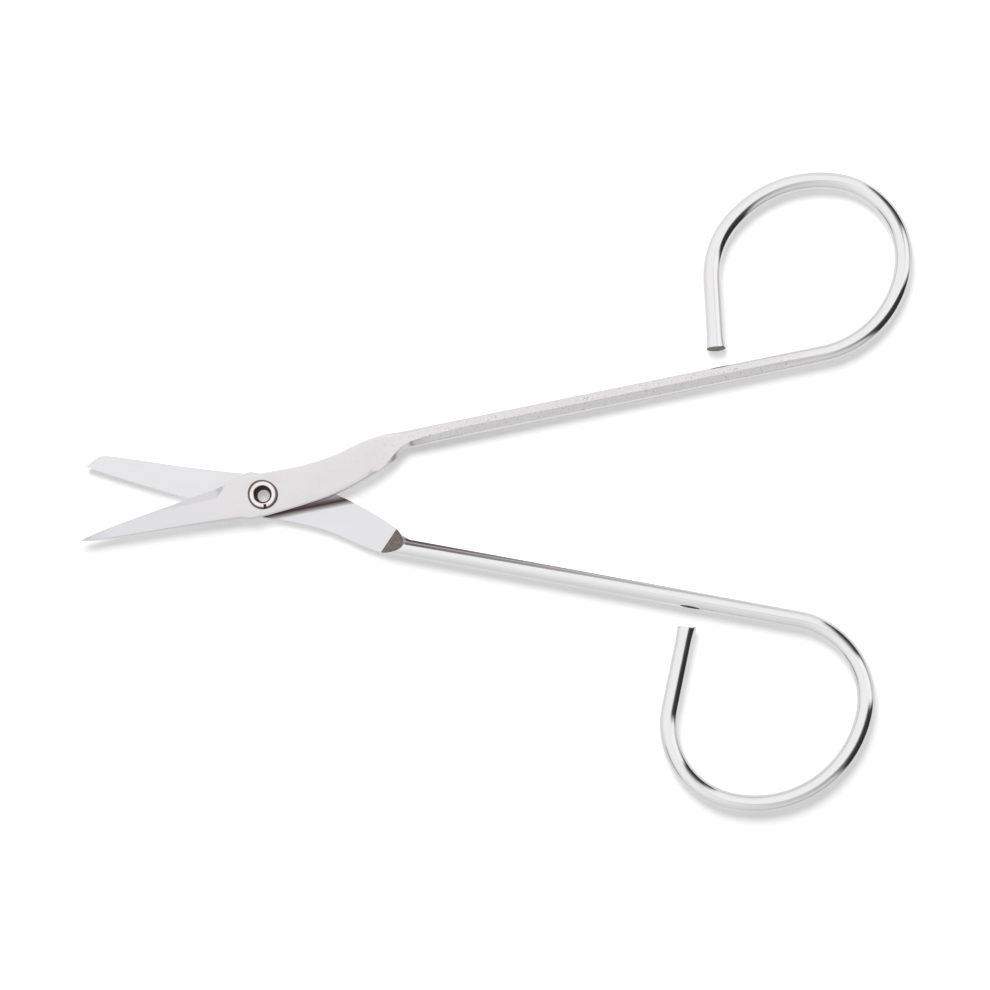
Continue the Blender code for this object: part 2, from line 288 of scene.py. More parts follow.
def wire_section(radius, flat, edge_end, spine_end):
    """The wire as (y, z) about its centre, with the dies' two flats meeting in a
    ridge on the outer side where flat is 1, and plain round where it is 0."""
    ridge = (0.0, radius)
    edge_arc = arc((0, 0), radius, radius, 90, 90 - edge_end, FLAT_STEPS)
    spine_arc = arc((0, 0), radius, radius, 90 + spine_end, 90, FLAT_STEPS)
    edge_flat = mixed(edge_arc, straight(ridge, edge_arc[-1], FLAT_STEPS), flat)
    spine_flat = mixed(spine_arc, straight(spine_arc[0], ridge, FLAT_STEPS), flat)
    underside = arc((0, 0), radius, radius, 90 - edge_end, spine_end - 270, ROUND_STEPS)
    return edge_flat[:-1] + underside + spine_flat[1:-1]


def plate_section(y_edge, y_spine, top_edge, top_spine, corner, depth):
    """Pressed plate as (y, z): a flat outer side above z = 0, and below it the
    wire's old round side, which the inner face later cuts away."""
    middle = (y_edge + y_spine) / 2
    half = (y_edge - y_spine) / 2
    corner = min(corner, half * 0.4)
    edge_corner = min(corner, top_edge * 0.5)
    spine_corner = min(corner, top_spine * 0.5)
    edge_round = arc((y_edge - corner, top_edge - edge_corner), corner, edge_corner,
                     90, 0, CORNER_STEPS)
    spine_round = arc((y_spine + corner, top_spine - spine_corner), corner, spine_corner,
                      180, 90, FLAT_STEPS)
    underside = arc((middle, 0.0), half, depth, 0, -180, ROUND_STEPS - CORNER_STEPS - 2)
    return (straight(spine_round[-1], edge_round[0], FLAT_STEPS)[:-1]
            + edge_round + underside + spine_round[:-1])


def blade_section(half, sizes, x):
    """The blade's wedge at x: one flat from the spine, and along the cutting edge a
    steeper sharpening bevel, widest where both run out at the tang."""
    edge = half["edge"] + TANG_OUTER[:1]
    spine = half["spine"] + TANG_INNER[:1]
    y_edge, y_spine = along(edge, x), along(spine, x)
    radius = sizes.wire_diameter / 2 / MM
    land = (sizes.shear_gap / 2 + sizes.edge_land) / MM
    ground = math.sin(share(x, PLUNGE, PLUNGE - PLUNGE_RUN) * math.pi / 2) ** HOLLOW_SHAPE
    top_edge = radius + ground * (land - radius)
    top_spine = radius - sizes.spine_taper / MM * share(x, PLUNGE, edge[0][0])
    corner = sizes.tang_corner / MM * (1 - 0.7 * ground)
    section = plate_section(y_edge, y_spine, top_edge, top_spine, corner, radius)

    # The bevel meets the flat in a crease, whose distance from the edge follows
    sharp = land + (radius - land) * share(x, SHARPENED_TO - SHARPENED_RUN, SHARPENED_TO)
    fall = (top_spine - top_edge) / (y_edge - y_spine)
    width = max((top_edge - sharp) / (SHARPENING_SLOPE - fall), SHARPENING_LEAST)
    crease = (y_edge - width, top_edge + fall * width)
    flat = straight(section[0], crease, FLAT_STEPS - 2)
    bevel = straight(crease, (y_edge, sharp), CORNER_STEPS + 2)
    return flat[:-1] + bevel + section[FLAT_STEPS + CORNER_STEPS + 1:]


def tang_section(sizes, x):
    """The tang at x, and the neck where the plate turns into the wire."""
    radius = sizes.wire_diameter / 2 / MM
    offset = sizes.wire_offset / MM
    if x >= NECK_END:
        outer, inner = offset + radius, offset - radius
        outer += (along(TANG_OUTER, x) - outer) * (1 - share(x, NECK_END, NECK_END + 1.0))
        inner += (along(TANG_INNER, x) - inner) * (1 - share(x, NECK_END, NECK_END + 1.0))
    else:
        outer, inner = along(TANG_OUTER, x), along(TANG_INNER, x)
    plate = plate_section(outer, inner, radius, radius, sizes.tang_corner / MM, radius)
    widening = (outer - inner) / (2 * radius)
    wire = [((outer + inner) / 2 + y * widening, z) for y, z in
            wire_section(radius, 1.0, along(EDGE_FLAT_END, x), along(SPINE_FLAT_END, x))]
    section = mixed(plate, wire, share(x, NECK_START, NECK_END) ** 2)
    if x <= NECK_START:
        return section
    # The crease has its own line in plan, and the flats on both sides follow it
    ridge = (along(CREASE, x), radius)
    edge_flat = straight(ridge, section[FLAT_STEPS], FLAT_STEPS)
    spine_flat = straight(section[-FLAT_STEPS], ridge, FLAT_STEPS)
    creased = edge_flat[:-1] + section[FLAT_STEPS:-FLAT_STEPS + 1] + spine_flat[1:-1]
    return mixed(section, creased, share(x, NECK_START, NECK_START + 1.5))


# ---------------------------------------------------------------- modelling

def select_only(item):
    """Selects one object, for the operators that act on what is selected."""
    bpy.ops.object.select_all(action='DESELECT')
    item.select_set(True)
    bpy.context.view_layer.objects.active = item


def start_ring(name, count):
    """A ring of loose edges in edit mode, in which each vertex knows its place."""
    bpy.ops.object.select_all(action='DESELECT')
    bpy.ops.mesh.primitive_circle_add(vertices=count, radius=MM, fill_type='NOTHING')
    item = bpy.context.object
    item.name = item.data.name = name
    place = item.data.attributes.new("place", 'INT', 'POINT')
    for i in range(count):
        place.data[i].value = i
    item.data.attributes.new("pressed", 'FLOAT', 'POINT')
    item.data.attributes.new("unbent", 'FLOAT_VECTOR', 'POINT')
    bpy.ops.object.mode_set(mode='EDIT')
    bpy.ops.mesh.select_mode(type='VERT')
    bpy.ops.mesh.select_all(action='SELECT')
    return item


def shape_ring(item, points, pressed, unbent):
    """Moves the selected ring's vertices to their points, and labels them."""
    shape = bmesh.from_edit_mesh(item.data)
    place = shape.verts.layers.int["place"]
    pressed_layer = shape.verts.layers.float["pressed"]
    unbent_layer = shape.verts.layers.float_vector["unbent"]
    for vertex in shape.verts:
        if vertex.select:
            i = vertex[place]
            vertex.co = points[i]
            vertex[pressed_layer] = pressed[i]
            vertex[unbent_layer] = unbent[i]
    bmesh.update_edit_mesh(item.data)


def extrude_to(item, x, section, pressed):
    """Extrudes the selected ring to a cross-section of the straight part at x."""
    bpy.ops.mesh.extrude_region_move()
    points = [Vector((x, y, z)) * MM for y, z in section]
    shape_ring(item, points, pressed, [p / MM for p in points])


def bend(item, place, heading, radius, angle, run):
    """Spins the selected ring round one bend and labels what it made."""
    side = Vector((-math.sin(heading), math.cos(heading), 0.0))
    centre = place + side * radius
    before = len(bmesh.from_edit_mesh(item.data).verts)
    bpy.ops.mesh.spin(steps=max(4, round(math.degrees(angle) / BEND_STEP)), angle=-angle,
                      center=centre * MM, axis=(0.0, 0.0, 1.0))
    shape = bmesh.from_edit_mesh(item.data)
    shape.verts.ensure_lookup_table()
    unbent_layer = shape.verts.layers.float_vector["unbent"]
    for vertex in shape.verts[before:]:
        arm = vertex.co / MM - centre
        turned = math.atan2(arm.x, -arm.y) - heading
        turned = (turned + math.pi) % (2 * math.pi) - math.pi
        vertex[unbent_layer] = (run + radius * turned, radius - Vector((arm.x, arm.y)).length, arm.z)
    bmesh.update_edit_mesh(item.data)
    heading += angle
    side = Vector((-math.sin(heading), math.cos(heading), 0.0))
    return centre - side * radius, heading, run + radius * angle


def end_tail(item, place, heading, run, half, radius):
    """Runs the wire straight on to its end, which the cropping spread and skewed."""
    way = Vector((math.cos(heading), math.sin(heading), 0.0))
    side = Vector((-way.y, way.x, 0.0))
    up = Vector((0.0, 0.0, 1.0))
    section = wire_section(radius, 0.0, WIRE_FLAT_END, WIRE_FLAT_END)
    length = half["tail"]
    skew = math.tan(math.radians(half["crop_skew"]))
    slope = math.tan(math.radians(half["crop_slope"]))
    stops = [(length * i / 6, 0.0) for i in range(1, 5)]
    stops += [(length - 1.8, 0.0), (length - 1.2, 0.02), (length - 0.6, 0.07),
              (length - 0.2, CROP_SPREAD), (length - CROP_CHAMFER, CROP_SPREAD),
              (length, CROP_SPREAD - CROP_CHAMFER)]
    for distance, grow in stops:
        bpy.ops.mesh.extrude_region_move()
        scale = (radius + grow) / radius
        lean = share(distance, length - 2.5, length)
        points = [(place + way * (distance + lean * (skew * y - slope * z)) + side * (y * scale)
                   + up * z) * MM for y, z in section]
        unbent = [Vector((run + distance, y, z)) for y, z in section]
        shape_ring(item, points, [0.0] * RING_POINTS, unbent)
    bpy.ops.mesh.edge_face_add()


def close_start():
    """Caps the first ring, at the blade's tip, and turns all the faces outwards."""
    bpy.ops.mesh.select_all(action='DESELECT')
    bpy.ops.mesh.select_non_manifold()
    bpy.ops.mesh.edge_face_add()
    bpy.ops.mesh.select_all(action='SELECT')
    bpy.ops.mesh.normals_make_consistent(inside=False)


def pressed_mask(amount):
    """1 on the two flats, 0 on the round side."""
    mask = [0.0] * RING_POINTS
    for i in range(RING_POINTS):
        if i <= FLAT_STEPS or i >= RING_POINTS - FLAT_STEPS:
            mask[i] = amount
    return mask


def spaced(start, end, step):
    """Stations from start to end, about a step apart."""
    count = max(1, round(abs(end - start) / step))
    return [start + (end - start) * i / count for i in range(count + 1)]


def model_half(name, half, sizes):
    """One half before cutting: blade, tang, straight wire and finger loop."""
    radius = sizes.wire_diameter / 2 / MM
    offset = sizes.wire_offset / MM
    tip = half["edge"][0][0]
    end = half["straight_end"]
    stations = spaced(tip, tip + 4.0, 0.25) + spaced(tip + 4.0, BLADE_END, 0.5)[1:]
    sections = [(x, blade_section(half, sizes, x), 1.0) for x in stations]
    stations = spaced(BLADE_END, NECK_START, 0.8)[1:] + spaced(NECK_START, WIRE_START, 0.33)[1:]
    sections += [(x, tang_section(sizes, x), 1.0) for x in stations]
    fade = end - FLATS_FADE
    for x in spaced(WIRE_START, fade, 6.0)[1:] + spaced(fade, end, 1.0)[1:]:
        flat = 1.0 - share(x, fade, end) ** 1.5
        wire = wire_section(radius, flat, WIRE_FLAT_END, WIRE_FLAT_END)
        sections.append((x, [(offset + y, z) for y, z in wire], flat))

    item = start_ring(name, RING_POINTS)
    x, section, pressed = sections[0]
    points = [Vector((x, y, z)) * MM for y, z in section]
    shape_ring(item, points, pressed_mask(pressed), [p / MM for p in points])
    for x, section, pressed in sections[1:]:
        extrude_to(item, x, section, pressed_mask(pressed))

    place = Vector((end, offset, 0.0))
    heading, run = 0.0, end
    for bend_radius, angle in half["bends"]:
        place, heading, run = bend(item, place, heading, bend_radius, math.radians(angle), run)
    end_tail(item, place, heading, run, half, radius)
    close_start()
    bpy.ops.object.mode_set(mode='OBJECT')
    return item


def block(name, corners):
    """A cutter with eight corners: for each of x, y and z, low before high."""
    bpy.ops.object.select_all(action='DESELECT')
    bpy.ops.mesh.primitive_cube_add(size=MM)
    item = bpy.context.object
    item.name = name
    for vertex in item.data.vertices:
        i = 4 * (vertex.co.x > 0) + 2 * (vertex.co.y > 0) + (vertex.co.z > 0)
        vertex.co = Vector(corners[i]) * MM
    return item


def cut(item, cutter):
    """Takes the cutter's shape away from the item, and removes the cutter."""
    select_only(cutter)
    bpy.ops.object.mode_set(mode='EDIT')
    bpy.ops.mesh.select_all(action='SELECT')
    bpy.ops.mesh.normals_make_consistent(inside=False)
    bpy.ops.object.mode_set(mode='OBJECT')
    select_only(item)
    modifier = item.modifiers.new(cutter.name, 'BOOLEAN')
    modifier.operation = 'DIFFERENCE'
    modifier.solver = 'EXACT'
    modifier.object = cutter
    bpy.ops.object.modifier_apply(modifier=modifier.name)
    bpy.data.objects.remove(cutter, do_unlink=True)


def inner_face_block(sizes):
    """Everything below the inner face, up to the shoulder's sloping facet."""
    inner = sizes.shear_gap / 2 / MM
    depth = 3.0               # past the underside
    reach = 6.0               # past both ends of the shoulder's foot
    far_left = -30.0          # past the blade's tip
    foot = [Vector(p) for p in SHOULDER_FOOT]
    way = (foot[1] - foot[0]).normalized()
    towards_wire = Vector((-way.y, way.x))
    high_y, low_y = foot[0] - way * reach, foot[1] + way * reach
    run = towards_wire * (depth + inner) / sizes.shoulder_slope
    corners = []
    for x_side in ("tip", "wire"):
        for point in (low_y, high_y):
            for z in (-depth, inner):
                if x_side == "tip":
                    corners.append((far_left, point.y, z))
                elif z == inner:
                    corners.append((point.x, point.y, z))
                else:
                    corners.append((point.x + run.x, point.y + run.y, z))
    return block("inner_face_cutter", corners)


def rivet_hole_drill(sizes):
    """The round bar that the eyelet's hole in the tang is cut with."""
    bpy.ops.object.select_all(action='DESELECT')
    bpy.ops.mesh.primitive_cylinder_add(
        vertices=96, radius=sizes.eyelet_radius + HOLE_CLEARANCE * MM, depth=THROUGH * MM)
    return bpy.context.object


def assign_where(item, slot_name, wanted):
    """Gives one material to the faces for which wanted(face) is true."""
    index = item.data.materials.find(slot_name)
    select_only(item)
    bpy.ops.object.mode_set(mode='EDIT')
    bpy.ops.mesh.select_mode(type='FACE')
    bpy.ops.mesh.select_all(action='DESELECT')
    shape = bmesh.from_edit_mesh(item.data)
    for face in shape.faces:
        face.select_set(wanted(face))
    bmesh.update_edit_mesh(item.data)
    item.active_material_index = index
    bpy.ops.object.material_slot_assign()
    bpy.ops.object.mode_set(mode='OBJECT')


def relabel_cut_part(item):
    """The cuts made new vertices: near the tang, unbent is simply where they are."""
    unbent = item.data.attributes["unbent"].data
    for vertex in item.data.vertices:
        if vertex.co.x < 20.0 * MM and abs(vertex.co.y) < 8.0 * MM:
            unbent[vertex.index].vector = vertex.co / MM


def build_half(name, half, heading, turned_over, body):
    """Models one half, cuts it, finishes it and sets it on the frame."""
    sizes = bpy.context.scene.scissor_sizes
    finish = bpy.context.scene.scissor_finish
    inner = sizes.shear_gap / 2
    item = model_half(name, half, sizes)
    cut(item, inner_face_block(sizes))
    cut(item, rivet_hole_drill(sizes))
    relabel_cut_part(item)

    plated = once(bright_nickel_on_drawn_wire, finish.plate, finish.pressed, finish.worn)
    ground = once(wheel_ground_blade_steel, finish.ground, finish.pressed)
    lapped = once(lapped_inner_face, finish.lapped, finish.rubbed)
    sheared = once(sheared_steel_shoulder, finish.sheared)
    for material in (plated, ground, lapped, sheared):
        item.data.materials.append(material)

    def on_bevel(face):
        return face.calc_center_median().x < SHARPENED_TO * MM and face.normal.z > 0.5

    def on_inner_face(face):
        middle = face.calc_center_median()
        return face.normal.z < -0.99 and abs(middle.z - inner) < 0.01 * MM

    def on_cropped_end(face):
        return len(face.verts) == RING_POINTS and face.calc_center_median().x > 22 * MM

    def on_shoulder(face):
        middle = face.calc_center_median()
        rise = -math.cos(math.atan(sizes.shoulder_slope))
        return abs(face.normal.z - rise) < 0.01 and face.normal.x < -0.2 and middle.x < 22 * MM

    assign_where(item, ground.name, on_bevel)
    assign_where(item, lapped.name, on_inner_face)
    assign_where(item, sheared.name, on_shoulder)
    assign_where(item, sheared.name, on_cropped_end)

    select_only(item)
    bpy.ops.object.shade_smooth_by_angle(angle=math.radians(28.0))
    flip = Matrix.Rotation(math.pi, 4, 'X') if turned_over else Matrix.Identity(4)
    item.matrix_world = (Matrix.Translation(PIVOT)
                         @ Matrix.Rotation(math.radians(heading), 4, 'Z') @ flip)
    bpy.ops.object.transform_apply(location=True, rotation=True, scale=True)
    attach(item, body)
    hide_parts(name.replace("_wire_blade", "_half"))
    return item


# ---------------------------------------------------------------- eyelet

def eyelet_profile(sizes):
    """Closed half-section as (radius, z), from the bore over the rolled rim."""
    top = EYELET_TOP / MM
    under = sizes.wire_diameter / 2 / MM + RIM_GAP
    bore, tube, flange = (r / MM for r in (sizes.bore_radius, sizes.eyelet_radius,
                                           sizes.flange_radius))
    shoulder = top - 0.01
    rolled = under + RIM_EDGE
    rim = arc((CROWN_INNER, FUNNEL), CROWN_INNER - bore, top - FUNNEL, 180, 90, 12)
    rim += straight((CROWN_INNER, top), (CROWN_OUTER, shoulder), 3)[1:]
    rim += arc((CROWN_OUTER, rolled), flange - CROWN_OUTER, shoulder - rolled, 90, 0, 12)[1:]
    rim += arc((flange - RIM_EDGE, rolled), RIM_EDGE, rolled - under, 0, -90, 4)[1:]
    rim += [(tube + 0.02, under), (tube, under - 0.06), (tube, 0.5)]
    # The tube narrows below the clinched rim, down to the factory head
    narrow = bore * NARROWING
    lower = [(r, -z) for r, z in reversed(rim) if r > bore + 0.02]
    return rim + lower + [(narrow + 0.06, -top + 0.10), (narrow, -FUNNEL), (narrow + 0.04, 0.0)]


def label_tarnish(item):
    """Brass tarnish and painted shade sit in the bore and in the crack and, a little
    thinner, down the rim's outside."""
    tarnish_and_shade = item.data.attributes.new("tarnish_and_shade", 'FLOAT', 'POINT').data
    crack = math.radians(CRACK_ANGLE)
    for vertex in item.data.vertices:
        place = vertex.co / MM
        reach = Vector((place.x, place.y)).length
        # Tarnish and painted shade: full in the bore and the crack, a little thinner down the rim's
        # outside
        in_bore = 1 - share(reach, 1.10, 1.22)
        outside = 0.85 * share(reach, 1.60, 1.72)
        beside_crack = abs(place.y * math.cos(crack) - place.x * math.sin(crack)) > 0.18
        in_crack = 0.0 if beside_crack or reach < 1.3 or place.y > 0 else 1.0
        tarnish_and_shade[vertex.index].value = max(in_bore, outside, in_crack)


def build_eyelet():
    """Spins the eyelet's section round the pivot and cracks its clinched rim."""
    sizes = bpy.context.scene.scissor_sizes
    profile = eyelet_profile(sizes)
    item = start_ring("pivot_eyelet_rivet", len(profile))
    points = [Vector((r, 0.0, z)) * MM for r, z in profile]
    zeros = [0.0] * len(profile)
    shape_ring(item, points, zeros, [p / MM for p in points])
    bpy.ops.mesh.spin(steps=96, angle=2 * math.pi, center=(0.0, 0.0, 0.0), axis=(0.0, 0.0, 1.0))
    bpy.ops.mesh.select_all(action='SELECT')
    bpy.ops.mesh.remove_doubles(threshold=0.002 * MM)
    bpy.ops.mesh.normals_make_consistent(inside=False)

    # Clinching by hand leaves the rim a little out of round, the more the further out
    shape = bmesh.from_edit_mesh(item.data)
    for vertex in shape.verts:
        angle = math.atan2(vertex.co.y, vertex.co.x)
        reach = share(Vector((vertex.co.x, vertex.co.y)).length / MM, 1.3, 2.0)
        wobble = 0.020 * math.cos(2 * angle + 0.9) + 0.012 * math.cos(3 * angle - 0.4)
        vertex.co.x *= 1 + (wobble - 0.03) * reach
        vertex.co.y *= 1 + (wobble - 0.03) * reach
    bmesh.update_edit_mesh(item.data)
    bpy.ops.object.mode_set(mode='OBJECT')

    turn = Matrix.Rotation(math.radians(CRACK_ANGLE), 4, 'Z')
    corners = [turn @ Vector((x, y, z)) for x, half_width in CRACK_ENDS
               for y in (-half_width, half_width) for z in (CRACK_FLOOR, THROUGH)]
    cut(item, block("crack_cutter", corners))

    label_tarnish(item)
    finish = bpy.context.scene.scissor_finish
    item.data.materials.append(bright_nickel_on_brass(finish.eyelet, finish.tarnish_and_shade))
    select_only(item)
    bpy.ops.object.shade_smooth_by_angle(angle=math.radians(40.0))
    item.matrix_world = Matrix.Translation(PIVOT)
    bpy.ops.object.transform_apply(location=True, rotation=True, scale=True)
    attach(item, "blunt_side")
    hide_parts("pivot_eyelet")
    return item


# ---------------------------------------------------------------- materials

def add_node(tree, kind, values=None, links=None, **settings):
    """Adds one node, sets its options and input values, and links its inputs."""
    node = tree.nodes.new(kind)
    for key, value in settings.items():
        setattr(node, key, value)
    for key, value in (values or {}).items():
        node.inputs[key].default_value = value
    for key, socket in (links or {}).items():
        tree.links.new(socket, node.inputs[key])
    return node


def grey_ramp(tree, place, ends, stops):
    """Grey along a place from 0 to 1, through the stops, with one grey at both ends."""
    node = add_node(tree, "ShaderNodeValToRGB", None, {0: place})
    for element in node.color_ramp.elements:
        element.color = (ends, ends, ends, 1.0)
    for position, grey in stops:
        node.color_ramp.elements.new(position).color = (grey, grey, grey, 1.0)
    return node.outputs["Color"]


def once(make, *colours):
    """The material that make gives, made only the first time it is asked for."""
    return bpy.data.materials.get(make.__name__) or make(*colours)


def new_metal(name):
    """A metal with its Principled shader; the colour and finish are added later."""
    material = bpy.data.materials.new(name)
    material.use_nodes = True
    shader = material.node_tree.nodes["Principled BSDF"]
    shader.inputs["Metallic"].default_value = 1.0
    return material, material.node_tree, shader


def unbent_vector(tree, scale):
    """The place a point had on the wire before it was bent, in millimetres, scaled."""
    label = add_node(tree, "ShaderNodeAttribute", attribute_name="unbent")
    return add_node(tree, "ShaderNodeVectorMath", {1: scale}, {0: label.outputs["Vector"]},
                    operation='MULTIPLY').outputs["Vector"]


def unbent_parts(tree):
    """The node whose X, Y and Z are that place's three parts."""
    label = add_node(tree, "ShaderNodeAttribute", attribute_name="unbent")
    return add_node(tree, "ShaderNodeSeparateXYZ", None, {0: label.outputs["Vector"]})


def parting_lines(tree, parts):
    """How strong the painted reflection is: two dark lines along the wire's round side, on the
    side away from the loop, strongest at the neck and gone before the loop."""
    offset = bpy.context.scene.scissor_sizes.wire_offset / MM
    across = add_node(tree, "ShaderNodeMath", {0: offset}, {1: parts.outputs["Y"]},
                      operation='SUBTRACT')
    below = add_node(tree, "ShaderNodeMath", {1: -1.0}, {0: parts.outputs["Z"]},
                     operation='MULTIPLY')
    turn = add_node(tree, "ShaderNodeMath", None, {0: across.outputs[0], 1: below.outputs[0]},
                    operation='ARCTAN2')
    quarter = add_node(tree, "ShaderNodeMath", {1: math.pi / 2}, {0: turn.outputs[0]},
                       operation='DIVIDE')
    # The lines creep round towards the wire's outer side as they fade
    creep = add_node(tree, "ShaderNodeMapRange", {1: 20.0, 2: 65.0, 3: 0.0, 4: 0.30},
                     {0: parts.outputs["X"]})
    place = add_node(tree, "ShaderNodeMath", None,
                     {0: quarter.outputs[0], 1: creep.outputs[0]}, operation='SUBTRACT')
    # Both lines and the gap between them, from the middle of the inner side, at 0, over
    # a quarter turn, at 1
    lines = grey_ramp(tree, place.outputs[0], 0.0,
                      ((0.15, 0.0), (0.22, 0.85), (0.36, 0.80), (0.41, 0.35), (0.45, 0.35),
                       (0.51, 1.0), (0.80, 1.0), (0.92, 0.0)))
    fade = add_node(tree, "ShaderNodeMapRange", {1: 19.0, 2: 70.0, 3: 1.0, 4: 0.0},
                    {0: parts.outputs["X"]})
    start = add_node(tree, "ShaderNodeMapRange", {1: 18.5, 2: 19.5},
                     {0: parts.outputs["X"]})
    there = add_node(tree, "ShaderNodeMath", None, {0: fade.outputs[0], 1: start.outputs[0]},
                     operation='MULTIPLY')
    return add_node(tree, "ShaderNodeMath", None, {0: there.outputs[0], 1: lines},
                    operation='MULTIPLY').outputs[0]


def bright_nickel_on_drawn_wire(plate, pressed_plate, painted_reflection_colour):
    """Nickel plate over drawn wire: a mirror with faint drawing lines, which gives
    the round wire its long streaks, a duller, grainy skin where dies pressed it, and
    two painted brown lines on the round side that stand in for a reflection of dark surroundings."""
    material, tree, shader = new_metal("bright_nickel_on_drawn_wire")
    label = add_node(tree, "ShaderNodeAttribute", attribute_name="pressed")
    pressed = label.outputs["Fac"]

    # Pits and scale that the dies pressed in, about 0.3 mm across
    pits = add_node(tree, "ShaderNodeTexNoise", {"Scale": 2.6, "Detail": 3.0, "Roughness": 0.6},
                    {"Vector": unbent_vector(tree, (0.7, 1.0, 1.0))})
    pit_depth = add_node(tree, "ShaderNodeMapRange", {1: 0.60, 2: 0.72, 3: 0.0, 4: 1.0},
                         {0: pits.outputs["Fac"]})
    # The tang was polished after pressing and kept few of them
    parts = unbent_parts(tree)
    kept = add_node(tree, "ShaderNodeMapRange", {1: 15.0, 2: 24.0, 3: 0.12, 4: 0.8},
                    {0: parts.outputs["X"]})
    left = add_node(tree, "ShaderNodeMath", None, {0: kept.outputs[0], 1: pressed},
                    operation='MULTIPLY')
    pit_mask = add_node(tree, "ShaderNodeMath", None,
                        {0: pit_depth.outputs[0], 1: left.outputs[0]}, operation='MULTIPLY')
    # The dies' own grain, 0.15 mm, and clouding of the plate over some millimetres
    grain = add_node(tree, "ShaderNodeTexNoise", {"Scale": 7.0, "Detail": 3.0, "Roughness": 0.6},
                     {"Vector": unbent_vector(tree, (0.6, 1.0, 1.0))})
    cloud = add_node(tree, "ShaderNodeTexNoise", {"Scale": 0.45, "Detail": 2.0},
                     {"Vector": unbent_vector(tree, (0.5, 1.0, 1.0))})

    calmed = add_node(tree, "ShaderNodeMix", {2: 0.5},
                      {0: kept.outputs[0], 3: grain.outputs["Fac"]}, data_type='FLOAT')
    grainy = add_node(tree, "ShaderNodeMix",
                      {6: (*[c * 0.75 for c in pressed_plate], 1.0),
                       7: (*[c * 1.25 for c in pressed_plate], 1.0)},
                      {0: calmed.outputs[0]}, data_type='RGBA')
    skin = add_node(tree, "ShaderNodeMix", {6: (*plate, 1.0)},
                    {0: pressed, 7: grainy.outputs[2]}, data_type='RGBA')
    speckled = add_node(tree, "ShaderNodeMix", {7: (*[c * 0.55 for c in pressed_plate], 1.0)},
                        {0: pit_mask.outputs[0], 6: skin.outputs[2]}, data_type='RGBA')
    # Painted reflection: two dark brown lines standing in for dark surroundings seen in the wire
    worn = parting_lines(tree, parts)
    with_painted_lines = add_node(tree, "ShaderNodeMix", {7: (*painted_reflection_colour, 1.0)},
                       {0: worn, 6: speckled.outputs[2]}, data_type='RGBA')
    tree.links.new(with_painted_lines.outputs[2], shader.inputs["Base Color"])
    metallic = add_node(tree, "ShaderNodeMapRange", {1: 0.0, 2: 1.0, 3: 1.0, 4: 0.0}, {0: worn})
    tree.links.new(metallic.outputs[0], shader.inputs["Metallic"])

    dull = add_node(tree, "ShaderNodeMapRange", {1: 0.3, 2: 0.7, 3: 0.18, 4: 0.26},
                    {0: cloud.outputs["Fac"]})
    bright = add_node(tree, "ShaderNodeMapRange", {1: 0.3, 2: 0.7, 3: 0.04, 4: 0.09},
                      {0: cloud.outputs["Fac"]})
    rough = add_node(tree, "ShaderNodeMix", None,
                     {0: pressed, 2: bright.outputs[0], 3: dull.outputs[0]}, data_type='FLOAT')
    rougher = add_node(tree, "ShaderNodeMix", {3: 0.95}, {0: worn, 2: rough.outputs[0]},
                       data_type='FLOAT')
    tree.links.new(rougher.outputs[0], shader.inputs["Roughness"])

    # Drawing lines, 0.15 mm apart round the wire and long along it, and slow waves
    lines = add_node(tree, "ShaderNodeTexNoise", {"Scale": 6.0, "Detail": 2.0},
                     {"Vector": unbent_vector(tree, (0.02, 1.0, 1.0))})
    waves = add_node(tree, "ShaderNodeTexNoise", {"Scale": 0.35, "Detail": 1.0},
                     {"Vector": unbent_vector(tree, (0.5, 1.0, 1.0))})
    line_bump = add_node(tree, "ShaderNodeBump", {"Strength": 0.25, "Distance": 0.004 * MM},
                         {"Height": lines.outputs["Fac"]})
    wave_bump = add_node(tree, "ShaderNodeBump", {"Strength": 0.3, "Distance": 0.03 * MM},
                         {"Height": waves.outputs["Fac"], "Normal": line_bump.outputs[0]})
    pit_bump = add_node(tree, "ShaderNodeBump", {"Strength": 0.5, "Distance": 0.02 * MM},
                        {"Height": pit_mask.outputs[0], "Normal": wave_bump.outputs[0]})
    pit_bump.invert = True
    tree.links.new(pit_bump.outputs[0], shader.inputs["Normal"])
    return material


def wheel_ground_blade_steel(colour, pressed_colour):
    """Steel ground on a wheel and plated: a satin sheen with fine scratches across
    the bevel, so that it looks soft and even next to the bright wire. The bevel takes
    the tang's tone where it runs out."""
    material, tree, shader = new_metal("wheel_ground_blade_steel")
    scratches = add_node(tree, "ShaderNodeTexNoise", {"Scale": 5.0, "Detail": 4.0},
                         {"Vector": unbent_vector(tree, (1.0, 0.06, 0.3))})
    tone = add_node(tree, "ShaderNodeMix",
                    {6: (*[c * 0.97 for c in colour], 1.0), 7: (*colour, 1.0)},
                    {0: scratches.outputs["Fac"]}, data_type='RGBA')
    run_out = add_node(tree, "ShaderNodeMapRange", {1: -10.0, 2: SHARPENED_TO},
                       {0: unbent_parts(tree).outputs["X"]})
    blended = add_node(tree, "ShaderNodeMix", {7: (*pressed_colour, 1.0)},
                       {0: run_out.outputs[0], 6: tone.outputs[2]}, data_type='RGBA')
    tree.links.new(blended.outputs[2], shader.inputs["Base Color"])
    rough = add_node(tree, "ShaderNodeMapRange", {1: 0.3, 2: 0.7, 3: 0.18, 4: 0.24},
                     {0: scratches.outputs["Fac"]})
    tree.links.new(rough.outputs[0], shader.inputs["Roughness"])
    bump = add_node(tree, "ShaderNodeBump", {"Strength": 0.2, "Distance": 0.003 * MM},
                    {"Height": scratches.outputs["Fac"]})
    tree.links.new(bump.outputs[0], shader.inputs["Normal"])
    return material


